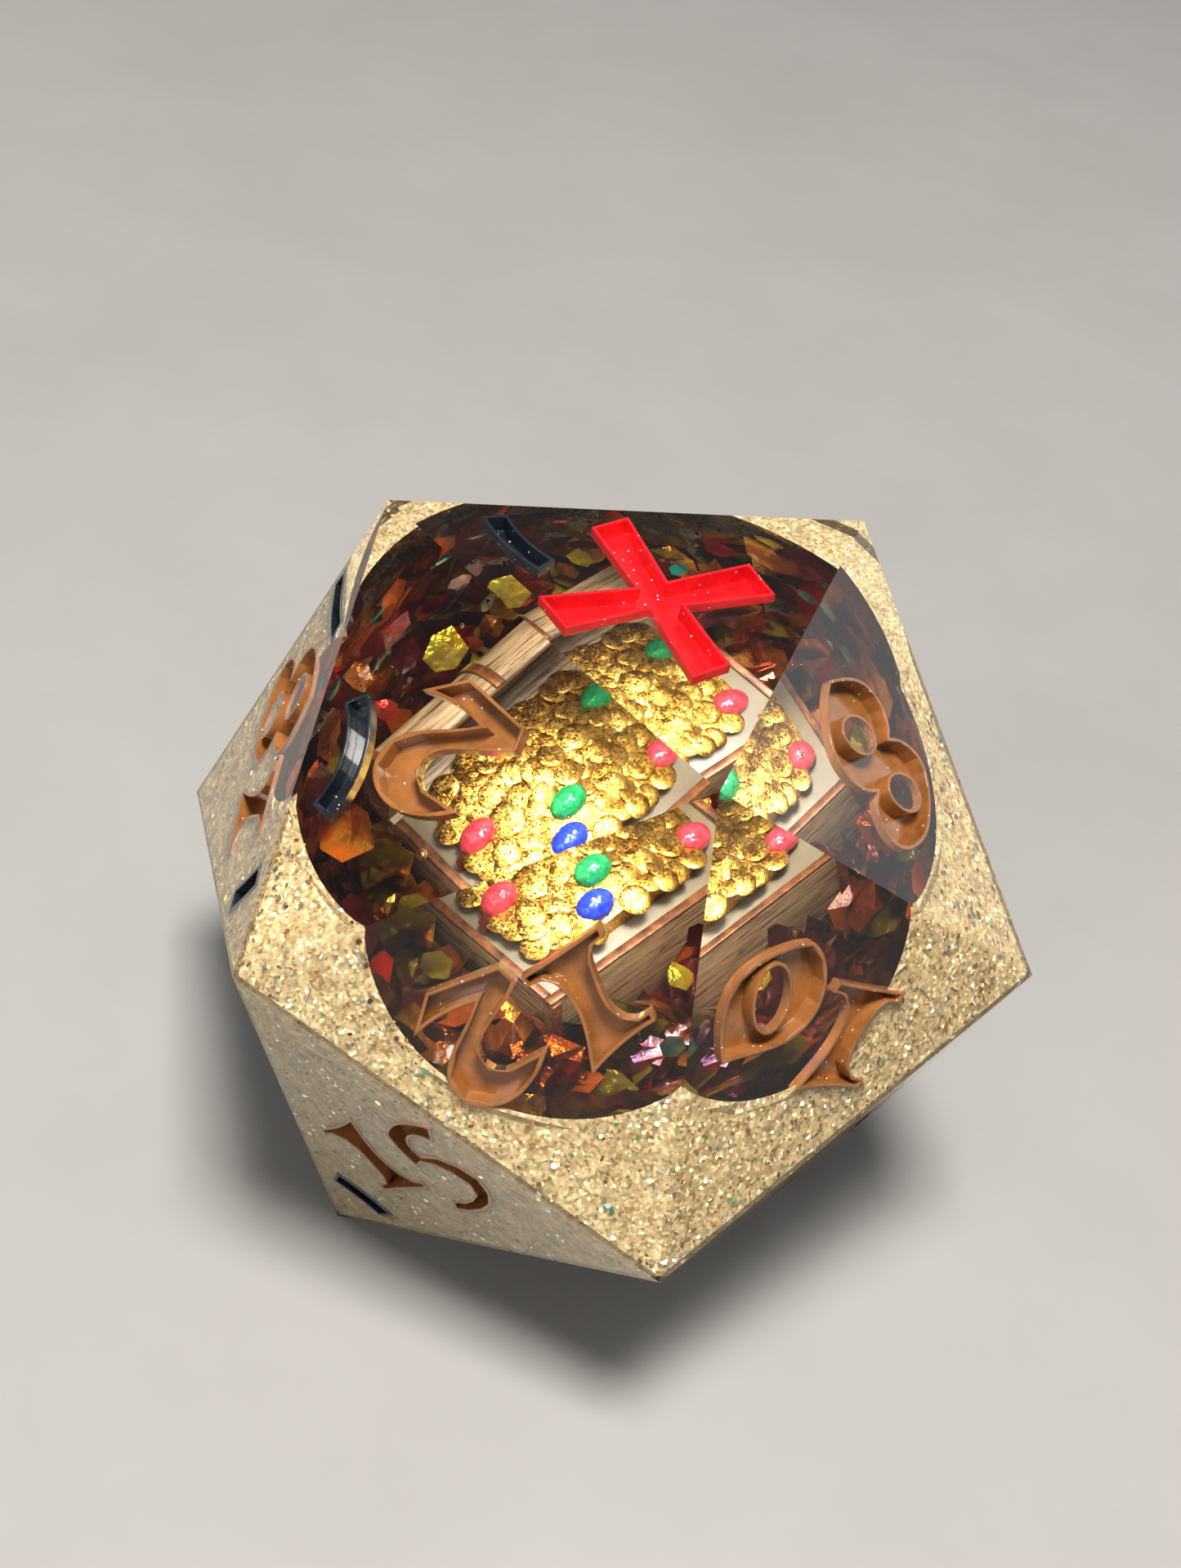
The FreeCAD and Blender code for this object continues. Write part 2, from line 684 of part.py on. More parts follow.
bowl_centre = V(size("bowl_shift_x"), size("bowl_shift_y"), size("bowl_shift_z"))
chest_from_die = chest_frame.inverse()
FLAKE_COLOURS = ("amber", "plum", "orange", "olive", "red", "amber", "plum", "iridescent")
FLAKE_LAYERS = 2
CHIP_SIDES = (4, 5, 6)
CHIP_UNEVEN = 0.3        # how far a chip's corner turns from its even place, in radians
CHIP_SHORTEST = 0.72     # least reach of a chip's corner, as a share of the flake's radius
HEX_EVERY = 4            # one glitter hexagon for each of this many places


def clear_of_chest(point, reach):
    local = chest_from_die.multVec(point)
    lid_back = lid_axis_y + size("lid_radius") + trim
    lid_top = lid_axis_z + size("lid_radius") + trim
    across = -trim - reach < local.x < long_x + trim + reach
    box = across and -trim - reach < local.y < deep_y + reach and -tall_z - reach < local.z
    box = box and local.z < size("mound_top") + size("gem_tall") + reach
    lid = across and deep_y - reach < local.y < lid_back + reach and local.z < lid_top + reach
    lid = lid and local.z > -size("lid_board") - trim - reach
    return not (box or lid)


def clear_of_recesses(point):
    return inside_die(point, size("engrave_depth") + size("resin_cover"))


def flake_outline(sides, radius, jitter):
    """Ragged chip outline: corners at uneven angles and distances."""
    points = []
    for side in range(sides):
        angle = 2 * math.pi * side / sides + CHIP_UNEVEN * jitter.uniform(-1, 1)
        reach = radius * jitter.uniform(CHIP_SHORTEST, 1)
        points.append(V(reach * math.cos(angle), reach * math.sin(angle), 0))
    return Part.Face(Part.makePolygon(points + points[:1]))


def even_directions(count):
    """Directions spread evenly over a ball by the golden-angle spiral."""
    for index in range(count):
        height = 1 - (2 * index + 1) / count
        around = index * math.pi * (3 - math.sqrt(5))
        ring = math.sqrt(1 - height ** 2)
        yield V(ring * math.cos(around), ring * math.sin(around), height)


def layer_depth(layer):
    """How far a layer of flakes lies inside the bowl's wall."""
    return size("resin_cover") + layer * (size("flake_size") / 4 + size("resin_cover"))


def flake_layer(layer, radius):
    """Places for chips that lie along the bowl, clear of the chest and the numbers."""
    layer_radius = size("bowl_radius") - layer_depth(layer)
    rim_rise = math.hypot(radius, layer_radius) - layer_radius
    count = int(4 * math.pi * layer_radius ** 2 / size("flake_spacing") ** 2)
    for direction in even_directions(count):
        centre = bowl_centre + direction * layer_radius
        if not clear_of_chest(centre, radius + size("resin_cover")):
            continue
        rotation = FreeCAD.Rotation(V(0, 0, 1), direction)
        rim = []
        for side in ((1, 0), (0, 1), (-1, 0), (0, -1)):
            rim_point = V(radius * side[0], radius * side[1], rim_rise)
            rim.append(centre + rotation.multVec(rim_point))
        if all(clear_of_recesses(point) for point in rim):
            yield FreeCAD.Placement(centre, rotation)


def flakes():
    """Ragged chips in all colours, layer by layer."""
    jitter = random.Random(20)
    radius = size("flake_size") / 2
    groups = {colour: [] for colour in FLAKE_COLOURS}
    places = [place for layer in range(FLAKE_LAYERS) for place in flake_layer(layer, radius)]
    for index, place in enumerate(places):
        chip = flake_outline(jitter.choice(CHIP_SIDES), radius, jitter)
        chip = chip.extrude(V(0, 0, size("flake_thick")))
        chip.Placement = place
        groups[FLAKE_COLOURS[index % len(FLAKE_COLOURS)]].append(chip)
    for colour, chips in groups.items():
        coded_part("flakes_" + colour, Part.makeCompound(chips))


def hex_glitter():
    """Small six-sided glitter inside the layers of flakes."""
    radius = size("hex_size") / math.sqrt(3)
    corners = [FreeCAD.Rotation(V(0, 0, 1), 60 * side).multVec(V(radius, 0, 0)) for side in range(7)]
    chips = []
    for place in list(flake_layer(FLAKE_LAYERS, radius))[::HEX_EVERY]:
        chip = Part.Face(Part.makePolygon(corners)).extrude(V(0, 0, size("flake_thick")))
        chip.Placement = place
        chips.append(chip)
    coded_part("hex_glitter", Part.makeCompound(chips))


flakes()
hex_glitter()
doc.recompute()

# ---------------------------------------------------------------- the two resin pours


def upper_room():
    """Everything the sand-coloured pour leaves free: the bowl and all above its level."""
    bowl = Part.makeSphere(size("bowl_radius"), bowl_centre)
    span = size("across_faces") * 2
    above = Part.makeBox(span, span, span, V(-span / 2, -span / 2, size("sand_level")))
    return bowl.fuse(above)


def resin_pours():
    blank = die_blank()
    room = upper_room()
    inclusions = [solid for feature in subparts for solid in feature.Shape.Solids]
    sand = blank.cut([room] + all_recesses)
    coded_part("sand_glitter_resin", max(sand.Solids, key=lambda solid: solid.Volume))
    coded_part("clear_resin", blank.common(room).cut(all_recesses + inclusions))


resin_pours()
doc.recompute()

# ---------------------------------------------------------------- check and write

for item in doc.Objects:
    if {"Invalid", "Error"} & set(item.State):
        raise RuntimeError("failed feature: " + item.Name)
os.makedirs("parts", exist_ok=True)
for feature in subparts:
    if feature.Shape.isNull() or not feature.Shape.isValid():
        raise RuntimeError("bad shape: " + feature.Label)
    if not feature.Shape.Solids:
        raise RuntimeError("no solid in: " + feature.Label)
for feature in subparts:
    feature.Shape.exportStep("parts/" + feature.Label + ".step")
    print(feature.Label, len(feature.Shape.Solids), round(feature.Shape.Volume, 2))
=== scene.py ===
import math

import bmesh
import bpy
import numpy as np
from mathutils import Euler, Matrix, Vector
from mathutils.bvhtree import BVHTree
from mathutils.geometry import delaunay_2d_cdt


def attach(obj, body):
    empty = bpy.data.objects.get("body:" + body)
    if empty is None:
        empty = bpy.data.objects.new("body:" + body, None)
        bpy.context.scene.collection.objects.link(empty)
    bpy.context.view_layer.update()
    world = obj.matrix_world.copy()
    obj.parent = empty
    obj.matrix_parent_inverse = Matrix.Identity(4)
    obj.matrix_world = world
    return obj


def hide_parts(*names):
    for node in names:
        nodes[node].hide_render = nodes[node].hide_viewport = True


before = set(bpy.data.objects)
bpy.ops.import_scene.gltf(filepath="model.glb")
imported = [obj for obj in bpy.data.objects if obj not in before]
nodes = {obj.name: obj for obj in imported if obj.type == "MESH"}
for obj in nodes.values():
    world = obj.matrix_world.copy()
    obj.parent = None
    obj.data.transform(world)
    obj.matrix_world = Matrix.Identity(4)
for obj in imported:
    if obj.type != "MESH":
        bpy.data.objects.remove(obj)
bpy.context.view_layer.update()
MM = 0.001

# ---- sand-coloured resin -------------------------------------------------------------
# The first pour: beige resin thick with gold dust, with a round bowl in its top.
# It is cast in the die's mould, so its outside follows the die's flat faces. It is drawn
# a little way under those faces, because the clear skin below covers the whole die.

ACROSS_FACES = 33.0 * MM
FACE_DISTANCE = ACROSS_FACES / 2
SAND_COVER = 0.3 * MM
BOWL_CENTRE = np.array((-0.8, -2.3, 4.9)) * MM
BOWL_RADIUS = 14.9 * MM
ON_PLANE = 0.004 * MM


def die_corners():
    """The twelve corners, in four rings of three from the top face down."""
    golden = (1 + math.sqrt(5)) / 2
    small = ACROSS_FACES / golden ** 2
    waist = small / (2 * golden)
    rings = ((small, FACE_DISTANCE, -90), (small * golden, waist, 90),
             (small * golden, -waist, -90), (small, -FACE_DISTANCE, 90))
    corners = []
    for radius, height, first in rings:
        for turn in range(3):
            angle = math.radians(first + 120 * turn)
            corners.append((radius * math.cos(angle), radius * math.sin(angle), height))
    return np.array(corners)


def die_faces(corners):
    """Corner numbers of the twenty triangles, each counter-clockwise from outside."""
    hull = bmesh.new()
    for corner in corners:
        hull.verts.new(corner)
    bmesh.ops.convex_hull(hull, input=hull.verts)
    hull.normal_update()
    hull.verts.index_update()
    faces = [[v.index for v in face.verts] for face in hull.faces]
    normals = np.array([face.normal for face in hull.faces])
    hull.free()
    return faces, normals


def node_mesh(name):
    """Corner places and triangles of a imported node, with doubled corners joined."""
    joined = bmesh.new()
    joined.from_mesh(nodes[name].data)
    bmesh.ops.remove_doubles(joined, verts=joined.verts, dist=1e-7)
    joined.verts.index_update()
    places = np.array([v.co for v in joined.verts])
    faces = [[v.index for v in face.verts] for face in joined.faces]
    joined.free()
    return places, faces


def make_piece(name, places, faces, material, slot, replaced=(), smooth_angle=None):
    """A new piece on the die's one body, in its finish and in place of its nodes."""
    mesh = bpy.data.meshes.new(name)
    mesh.from_pydata([tuple(p) for p in places], [], [list(map(int, f)) for f in faces])
    mesh.materials.append(material)
    if smooth_angle is not None:
        mesh.shade_smooth()
        mesh.set_sharp_from_angle(angle=math.radians(smooth_angle))
    piece = bpy.data.objects.new(name, mesh)
    bpy.context.scene.collection.objects.link(piece)
    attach(piece, "root")
    if replaced:
        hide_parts(*replaced)
    return piece


def finish(name, sockets):
    """A material whose Principled shader has these socket values."""
    material = bpy.data.materials.new(name)
    material.use_nodes = True
    shader = material.node_tree.nodes["Principled BSDF"]
    for socket, value in sockets.items():
        shader.inputs[socket].default_value = value
    return material


def add_node(material, kind, sockets, **settings):
    """A shader node; a socket is given a value or another node's output."""
    made = material.node_tree.nodes.new("ShaderNode" + kind)
    for key, value in settings.items():
        setattr(made, key, value)
    for key, value in sockets.items():
        if isinstance(value, bpy.types.NodeSocket):
            material.node_tree.links.new(value, made.inputs[key])
        else:
            made.inputs[key].default_value = value
    return made


def feed(material, socket, source):
    shader = material.node_tree.nodes["Principled BSDF"]
    material.node_tree.links.new(source, shader.inputs[socket])


def place_on_piece(material):
    return add_node(material, "TexCoord", {}).outputs["Object"]


def cloudy_colour(material, scale, stops, detail=4.0):
    """Soft patches of colour; stops are (share, colour) pairs."""
    noise = add_node(material, "TexNoise", {"Vector": place_on_piece(material), "Scale": scale,
                                            "Detail": detail, "Roughness": 0.6})
    ramp = add_node(material, "ValToRGB", {"Fac": noise.outputs["Fac"]})
    ramp.color_ramp.elements.remove(ramp.color_ramp.elements[0])
    for share, colour in stops:
        ramp.color_ramp.elements.new(share).color = (*colour, 1)
    ramp.color_ramp.elements.remove(ramp.color_ramp.elements[-1])
    return ramp.outputs["Color"]


def grainy_normal(material, scale, lean):
    """Leans each tiny cell of the surface its own way, as packed glitter does."""
    cells = add_node(material, "TexVoronoi", {"Vector": place_on_piece(material), "Scale": scale})
    middle = add_node(material, "VectorMath", {0: cells.outputs["Color"], 1: (0.5, 0.5, 0.5)},
                      operation="SUBTRACT")
    tilt = add_node(material, "VectorMath", {0: middle.outputs["Vector"], "Scale": lean},
                    operation="SCALE")
    surface = add_node(material, "NewGeometry", {}).outputs["Normal"]
    leaned = add_node(material, "VectorMath", {0: surface, 1: tilt.outputs["Vector"]},
                      operation="ADD")
    normal = add_node(material, "VectorMath", {0: leaned.outputs["Vector"]}, operation="NORMALIZE")
    return cells.outputs["Color"], normal.outputs["Vector"]


CORNERS = die_corners()
FACES, FACE_NORMALS = die_faces(CORNERS)

sand_finish = finish("sand_resin_finish", {"Roughness": 0.36, "Specular IOR Level": 0.3})
sand_cells, sand_normal = grainy_normal(sand_finish, 7000.0, 1.0)
sand_shade = cloudy_colour(sand_finish, 1500.0, (
    (0.28, (0.27, 0.20, 0.098)), (0.45, (0.35, 0.262, 0.130)), (0.60, (0.43, 0.33, 0.172)),
    (0.75, (0.52, 0.41, 0.23))))
dust = add_node(sand_finish, "SeparateColor", {"Color": sand_cells})
dust_share = add_node(sand_finish, "MapRange", {"Value": dust.outputs["Blue"], "From Min": 0.55,
                                                "From Max": 0.7, "To Min": 0.0, "To Max": 0.55})
feed(sand_finish, "Base Color", sand_shade)
feed(sand_finish, "Metallic", dust_share.outputs["Result"])
feed(sand_finish, "Normal", sand_normal)

sand_places, sand_faces = node_mesh("sand_glitter_resin")
plane_depth = sand_places @ FACE_NORMALS.T
for number, on_planes in enumerate(plane_depth > FACE_DISTANCE - ON_PLANE):
    if on_planes.any():
        planes = FACE_NORMALS[on_planes]
        sand_places[number] += np.linalg.pinv(planes) @ np.full(len(planes), -SAND_COVER)
make_piece("sand_resin", sand_places, sand_faces, sand_finish, "sand_glitter_resin",
           ["sand_glitter_resin"], smooth_angle=20)

# ---- glitter in the sand-coloured resin ----------------------------------------------
# Cut foil glitter, six-sided and a tenth to a third of a millimetre across, mostly pale gold,
# with some gold, copper and holographic colours. It was stirred into the first pour, so it
# lies at all angles just under the die's faces and in the wall of the bowl.

GLITTER_KINDS = {
    "glitter_pale": (0.60, (0.95, 0.90, 0.76)),
    "glitter_gold": (0.28, (0.90, 0.58, 0.20)),
    "glitter_copper": (0.06, (0.45, 0.20, 0.07)),
    "glitter_holographic": (0.06, (0.35, 0.75, 0.60)),
}
GLITTER_COUNT = 14000
GLITTER_RADIUS = (0.05, 0.16)
GLITTER_DEPTH = (-0.03, 0.19)
GLITTER_THICK = 0.03 * MM
GLITTER_TUMBLE = 0.42
glitter_random = np.random.default_rng(7)


def unit(vectors):
    return vectors / np.linalg.norm(vectors, axis=-1, keepdims=True)


def flake_cloud(name, centres, facings, radii, sides, lifts, thickness, material, slot,
                replaced, random):
    """Many thin foil flakes: an outline of a few sides round a raised middle."""
    count = len(centres)
    side_way = unit(np.cross(facings, unit(random.normal(size=(count, 3)))))
    other_way = np.cross(facings, side_way)
    angles = np.arange(sides) * 2 * math.pi / sides + random.uniform(-0.2, 0.2, (count, sides))
    reach = radii[:, None] * random.uniform(0.75, 1.1, (count, sides))
    outline = (centres[:, None, :]
               + (reach * np.cos(angles))[..., None] * side_way[:, None, :]
               + (reach * np.sin(angles))[..., None] * other_way[:, None, :])
    crown = centres + facings * lifts[:, None]
    under = crown - facings * thickness
    places = np.concatenate([outline, crown[:, None, :], under[:, None, :]], axis=1)
    stride = sides + 2
    faces = []
    for side in range(sides):
        after = (side + 1) % sides
        faces += [(side, after, sides), (after, side, sides + 1)]
    one = np.array(faces)
    all_faces = (one[None, :, :] + stride * np.arange(count)[:, None, None]).reshape(-1, 3)
    return make_piece(name, places.reshape(-1, 3), all_faces, material, slot, replaced)


def points_on_sand():
    """Random places on the sand's faces and bowl wall, with the way out from the sand."""
    places = sand_places[np.array(sand_faces)]
    cross = np.cross(places[:, 1] - places[:, 0], places[:, 2] - places[:, 0])
    area = np.linalg.norm(cross, axis=1) / 2
    out = cross / np.maximum(2 * area, 1e-15)[:, None]
    middle = places.mean(axis=1)
    outer = ((out @ FACE_NORMALS.T > 0.999)
             & (middle @ FACE_NORMALS.T > FACE_DISTANCE - 1.3 * SAND_COVER)).any(axis=1)
    bowl = np.abs(np.linalg.norm(middle - BOWL_CENTRE, axis=1) - BOWL_RADIUS) < 0.2 * MM
    share = area * (outer | bowl) * np.clip(0.55 + middle[:, 2] / (20 * MM), 0.25, 1.0)
    picked = glitter_random.choice(len(area), GLITTER_COUNT, p=share / share.sum())
    a, b = glitter_random.uniform(size=(2, GLITTER_COUNT, 1))
    flip = a + b > 1
    a, b = np.where(flip, 1 - a, a), np.where(flip, 1 - b, b)
    corner = places[picked]
    spot = corner[:, 0] + a * (corner[:, 1] - corner[:, 0]) + b * (corner[:, 2] - corner[:, 0])
    return spot, out[picked]


glitter_spots, glitter_out = points_on_sand()
glitter_depth = glitter_random.uniform(*GLITTER_DEPTH, GLITTER_COUNT) * MM
glitter_spots = glitter_spots + glitter_out * glitter_depth[:, None]
glitter_facing = unit(glitter_out + glitter_random.normal(scale=GLITTER_TUMBLE,
                                                          size=(GLITTER_COUNT, 3)))
glitter_size = glitter_random.uniform(*GLITTER_RADIUS, GLITTER_COUNT) * MM
kind_draw = glitter_random.uniform(size=GLITTER_COUNT)
kind_start = 0.0
for glitter_name, (kind_share, tint) in GLITTER_KINDS.items():
    chosen = (kind_draw >= kind_start) & (kind_draw < kind_start + kind_share)
    kind_start += kind_share
    foil = finish(glitter_name + "_finish", {"Metallic": 1.0, "Roughness": 0.18})
    if glitter_name == "glitter_holographic":
        hues = ((0.3, (0.1, 0.5, 0.9)), (0.45, (0.1, 0.8, 0.4)), (0.55, (0.9, 0.8, 0.2)),
                (0.7, (0.9, 0.25, 0.1)))
    else:
        hues = ((0.35, tuple(0.75 * c for c in tint)), (0.65, tint))
    feed(foil, "Base Color", cloudy_colour(foil, 900.0, hues, detail=1.0))
    flake_cloud(glitter_name, glitter_spots[chosen], glitter_facing[chosen], glitter_size[chosen],
                6, np.zeros(chosen.sum()), GLITTER_THICK, foil, "sand_glitter_resin", [],
                glitter_random)

# ---- chest boards --------------------------------------------------------------------
# Thin wood veneer, cut into boards and glued edge to edge, with rubbed corners. The grain
# runs along each board. The whole box lies tilted in the clear resin.

CHEST_TURN = Euler((math.radians(5.0), math.radians(-19.3), math.radians(32.0))).to_matrix()
CHEST_CORNER = Vector((-3.15, -8.3, 1.65)) * MM
CHEST_LENGTH, CHEST_WIDTH, CHEST_TALL = 13.0 * MM, 9.2 * MM, 5.6 * MM
ALONG, ACROSS, UPWARD = (Vector(CHEST_TURN.col[i]) for i in range(3))


def grain_place(material, grain_way, stretch):
    """Texture place with the grain's direction squeezed, so lines run along it."""
    here = place_on_piece(material)
    ways = [ALONG, ACROSS, UPWARD]
    squeezes = [stretch if way is grain_way else 1.0 for way in ways]
    parts = []
    for way, squeeze in zip(ways, squeezes):
        dot = add_node(material, "VectorMath", {0: here, 1: way * squeeze}, operation="DOT_PRODUCT")
        parts.append(dot.outputs["Value"])
    return add_node(material, "CombineXYZ", dict(zip("XYZ", parts))).outputs["Vector"]


def wood_finish(name, grain_way):
    """Tan veneer with fine dark grain lines and short open pores."""
    wood = finish(name, {"Roughness": 0.55})
    there = grain_place(wood, grain_way, 0.08)
    lines = add_node(wood, "TexNoise", {"Vector": there, "Scale": 4600.0, "Detail": 6.0,
                                        "Roughness": 0.7, "Distortion": 0.3})
    ramp = add_node(wood, "ValToRGB", {"Fac": lines.outputs["Fac"]})
    stops = ramp.color_ramp.elements
    stops[0].position, stops[0].color = 0.38, (0.030, 0.018, 0.009, 1)
    stops[1].position, stops[1].color = 0.64, (0.40, 0.27, 0.135, 1)
    stops.new(0.47).color = (0.23, 0.145, 0.066, 1)
    broad = add_node(wood, "TexNoise", {"Vector": there, "Scale": 600.0, "Detail": 2.0})
    shade = add_node(wood, "MapRange", {"Value": broad.outputs["Fac"], "From Min": 0.3,
                                        "From Max": 0.7, "To Min": 0.75, "To Max": 1.25})
    tone = add_node(wood, "VectorMath", {0: ramp.outputs["Color"],
                                         "Scale": shade.outputs["Result"]}, operation="SCALE")
    bump = add_node(wood, "Bump", {"Height": lines.outputs["Fac"], "Strength": 0.6,
                                   "Distance": 0.05 * MM})
    feed(wood, "Base Color", tone.outputs["Vector"])
    feed(wood, "Normal", bump.outputs["Normal"])
    return wood


def rubbed_copy(name, node, material, slot, rounding, segments=2):
    """A node's shape with rounded edges, in place of the node."""
    places, faces = node_mesh(node)
    piece = make_piece(name, places, faces, material, slot, [node])
    shaped = bmesh.new()
    shaped.from_mesh(piece.data)
    flat = [e for e in shaped.edges if e.is_manifold and e.calc_face_angle() < math.radians(1)]
    bmesh.ops.dissolve_edges(shaped, edges=flat, use_verts=False)
    sharp = [e for e in shaped.edges if e.is_manifold and e.calc_face_angle() > math.radians(40)]
    bmesh.ops.bevel(shaped, geom=sharp, offset=rounding, segments=segments, profile=0.5,
                    affect="EDGES", clamp_overlap=True)
    bmesh.ops.triangulate(shaped, faces=shaped.faces)
    shaped.to_mesh(piece.data)
    shaped.free()
    piece.data.shade_smooth()
    piece.data.set_sharp_from_angle(angle=math.radians(50))
    return piece


long_grain = wood_finish("veneer_long_grain", ALONG)
end_grain = wood_finish("veneer_end_grain", ACROSS)
BOARD_ROUNDING = 0.06 * MM
for board in ("front", "back", "base"):
    rubbed_copy(f"{board}_veneer", f"chest_{board}_board", long_grain, "chest_wood", BOARD_ROUNDING)
for board in ("left", "right"):
    rubbed_copy(f"{board}_veneer", f"chest_{board}_board", end_grain, "chest_wood", BOARD_ROUNDING)

# ---- copper-brown rim and corner straps ----------------------------------------------
# A line of copper-brown metallic paint on the boards' top edges and down the corners. It
# was brushed on by hand after the box was glued.

copper_trim = finish("copper_trim_finish", {"Roughness": 0.38, "Metallic": 0.35})
feed(copper_trim, "Base Color", cloudy_colour(copper_trim, 1400.0, (
    (0.35, (0.06, 0.019, 0.005)), (0.5, (0.16, 0.052, 0.011)), (0.7, (0.30, 0.11, 0.022)))))
trim_bump = add_node(copper_trim, "TexNoise", {"Vector": place_on_piece(copper_trim),
                                               "Scale": 6000.0, "Detail": 3.0})
trim_relief = add_node(copper_trim, "Bump", {"Height": trim_bump.outputs["Fac"], "Strength": 0.4,
                                             "Distance": 0.03 * MM})
feed(copper_trim, "Normal", trim_relief.outputs["Normal"])
for strip in ("front_trim", "left_trim", "right_trim", "corner_straps"):
    rubbed_copy(f"{strip}_paint", f"chest_{strip}", copper_trim, "chest_trim", 0.05 * MM)

# ---- lid -----------------------------------------------------------------------------
# A half-round lid of bent veneer with two end boards and three copper-brown bands, glued
# open behind the box.

for part in ("lid_left_end", "lid_right_end"):
    rubbed_copy(f"{part}_veneer", f"chest_{part}", end_grain, "chest_wood", BOARD_ROUNDING)
rubbed_copy("lid_shell_veneer", "chest_lid_shell", long_grain, "chest_wood", BOARD_ROUNDING)
rubbed_copy("lid_bands_paint", "chest_lid_bands", copper_trim, "chest_trim", 0.04 * MM)

# ---- cream bed -----------------------------------------------------------------------
# A smooth cream-coloured filling poured into the box to just below its rim, which carries
# the heap of coins.

cream = finish("cream_bed_finish", {"Roughness": 0.42})
feed(cream, "Base Color", cloudy_colour(cream, 500.0, (
    (0.3, (0.13, 0.099, 0.054)), (0.7, (0.19, 0.149, 0.086)))))
rubbed_copy("cream_filling", "chest_cream_bed", cream, "cream_bed", 0.05 * MM)

# ---- heap and gold coins -------------------------------------------------------------
# Small gold-painted discs, 1.3 mm across, sprinkled over a glued heap so that they
# overlap like scales. The paint is grainy and full of fine gold glitter.

COIN_RADIUS = 0.66 * MM
COIN_THICK = 0.14 * MM
COIN_SPACING = 0.80 * MM
COIN_SIDES = 18
COIN_WANDER = 0.3
COIN_ROWS_CLOSER = 0.8
COIN_TIP = 0.14
COIN_LIFT = 0.16 * MM
GEM_ROOM = 0.25 * MM
coin_random = np.random.default_rng(11)

gold = finish("gold_coin_finish", {"Metallic": 1.0})
gold_cells, gold_normal = grainy_normal(gold, 11000.0, 0.26)
feed(gold, "Base Color", cloudy_colour(gold, 1300.0, (
    (0.30, (0.36, 0.17, 0.024)), (0.48, (0.62, 0.34, 0.055)), (0.68, (0.95, 0.60, 0.14)))))
gold_rough = add_node(gold, "SeparateColor", {"Color": gold_cells})
gold_gloss = add_node(gold, "MapRange", {"Value": gold_rough.outputs["Red"], "To Min": 0.22,
                                         "To Max": 0.5})
feed(gold, "Roughness", gold_gloss.outputs["Result"])
feed(gold, "Normal", gold_normal)


def coin_shape():
    """A thin disc with a rounded edge and a slightly domed face, at the origin."""
    levels = ((0.86, -0.5), (1.0, -0.15), (1.0, 0.12), (0.88, 0.42), (0.5, 0.62))
    places, faces = [], []
    for radius, height in levels:
        for side in range(COIN_SIDES):
            angle = 2 * math.pi * side / COIN_SIDES
            places.append((radius * math.cos(angle), radius * math.sin(angle), height))
    for level in range(len(levels) - 1):
        for side in range(COIN_SIDES):
            here, after = level * COIN_SIDES + side, level * COIN_SIDES + (side + 1) % COIN_SIDES
            faces.append((here, after, after + COIN_SIDES, here + COIN_SIDES))
    faces.append(tuple(reversed(range(COIN_SIDES))))
    last = (len(levels) - 1) * COIN_SIDES
    faces.append(tuple(range(last, last + COIN_SIDES)))
    return np.array(places) * (COIN_RADIUS, COIN_RADIUS, COIN_THICK), faces


def heap_spots():
    """Staggered rows over the heap, each with the heap's surface and its tilt there."""
    places, faces = node_mesh("coin_mound")
    surface = BVHTree.FromPolygons([Vector(p) for p in places], faces)
    gems = []
    for node in ("gems_red", "gems_green", "gems_blue"):
        gem_places, gem_faces = node_mesh(node)
        gems.append(BVHTree.FromPolygons([Vector(p) for p in gem_places], gem_faces))
    rows = int(CHEST_WIDTH / COIN_SPACING / COIN_ROWS_CLOSER)
    columns = int(CHEST_LENGTH / COIN_SPACING)
    for row in range(rows):
        for column in range(columns):
            wander = coin_random.uniform(-COIN_WANDER, COIN_WANDER, 2)
            x = (column + 0.5 * (row % 2) + wander[0]) * COIN_SPACING
            y = (row + wander[1]) * COIN_SPACING * COIN_ROWS_CLOSER
            above = CHEST_CORNER + ALONG * x + ACROSS * y + UPWARD * 6 * MM
            spot, facing, _, _ = surface.ray_cast(above, -UPWARD, 6.4 * MM)
            if spot is None or facing.dot(UPWARD) < 0.4:
                continue
            if min(tree.find_nearest(spot)[3] for tree in gems) < GEM_ROOM:
                continue
            yield spot, facing


def lay_coins():
    """Every coin tipped a little from the heap's surface, joined into one mesh."""
    shape, shape_faces = coin_shape()
    places, faces = [], []
    for spot, facing in heap_spots():
        lean = Vector(coin_random.normal(scale=COIN_TIP, size=3))
        facing = (facing + UPWARD * 0.3 + lean).normalized()
        turn = np.array(facing.to_track_quat("Z", "Y").to_matrix())
        lift = coin_random.uniform(0.0, 1.0) * COIN_LIFT
        size = coin_random.uniform(0.88, 1.12)
        base = len(places) * len(shape)
        places.append(shape @ turn.T * size + np.array(spot + facing * lift))
        faces += [tuple(base + number for number in face) for face in shape_faces]
    return np.concatenate(places), faces


coin_places, coin_faces = lay_coins()
make_piece("scattered_coins", coin_places, coin_faces, gold, "gold_coin", ["gold_coins"],
           smooth_angle=40)
nodes["coin_mound"].material_slots[0].material = gold

# ---- gems ----------------------------------------------------------------------------
# Small resin pebbles painted in pearly red, green and blue, pressed in between the coins.

